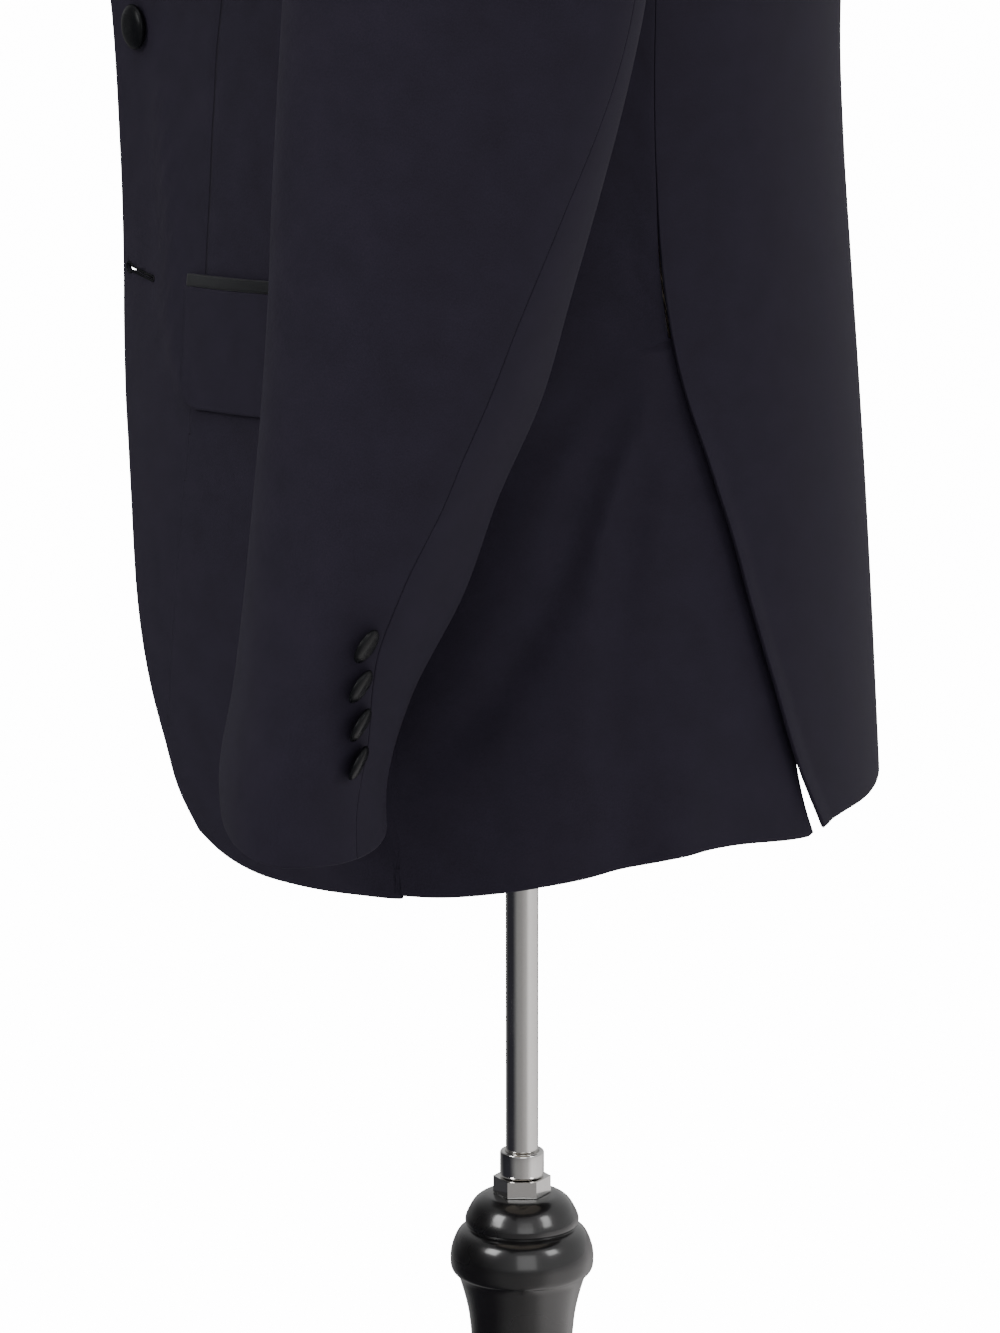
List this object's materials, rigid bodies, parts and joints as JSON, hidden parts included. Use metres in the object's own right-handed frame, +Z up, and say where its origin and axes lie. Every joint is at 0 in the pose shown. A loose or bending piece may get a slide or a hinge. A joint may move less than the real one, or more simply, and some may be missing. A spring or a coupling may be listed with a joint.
{
  "type": "tuxedo jacket worn by a limbless dress form on a turned wooden stand",
  "caption": "Single-breasted tuxedo jacket with satin lapels and flap pockets, worn by a limbless dress form that stands on a chrome pole and a turned black wooden stand.",
  "frame": {"origin": "on the floor, on the axis of the pole", "axes": "+Z up along the pole; -Y is the jacket's front; +X is the wearer's left"},
  "size_m": [0.596, 0.444, 1.605],
  "materials": {
    "black_wool": "fine worsted wool, nearly black with a cool tint and a soft sheen",
    "black_satin": "black satin with a smooth low sheen",
    "black_button": "buttons covered with black satin",
    "natural_linen": "natural linen stretched over a rigid shell",
    "chrome": "polished chrome plate",
    "gloss_black_wood": "turned wood under gloss black lacquer"
  },
  "bodies": {
    "stand": {"column": "gloss_black_wood", "hex_nut": "chrome", "collar_fitting": "chrome", "leg_left": "gloss_black_wood", "leg_back_right": "gloss_black_wood", "leg_front_right": "gloss_black_wood"},
    "pole": {"pole": "chrome"},
    "dressed_form": {"form_torso": "natural_linen", "front_left": "black_wool", "front_right": "black_wool", "side_left": "black_wool", "side_right": "black_wool", "back_left": "black_wool", "back_right": "black_wool", "collar_stand": "black_wool", "sleeve_top_left": "black_wool", "sleeve_top_right": "black_wool", "sleeve_under_left": "black_wool", "sleeve_under_right": "black_wool", "flap_left": "black_wool", "flap_right": "black_wool", "lapel_left": "black_satin", "lapel_right": "black_satin", "collar": "black_satin", "jet_left": "black_satin", "jet_right": "black_satin", "button_front_upper": "black_button", "button_front_lower": "black_button", "button_cuff_left_1": "black_button", "button_cuff_left_2": "black_button", "button_cuff_left_3": "black_button", "button_cuff_left_4": "black_button", "button_cuff_right_1": "black_button", "button_cuff_right_2": "black_button", "button_cuff_right_3": "black_button", "button_cuff_right_4": "black_button"}
  },
  "joints": [
    {"name": "height", "type": "slide", "parent": "stand", "child": "pole", "axis": [0, 0, 1], "range_m": [-0.15, 0.2]},
    {"name": "turn", "type": "hinge", "parent": "pole", "child": "dressed_form", "pos_m": [0, 0, 1], "axis": [0, 0, 1], "continuous": true}
  ]
}
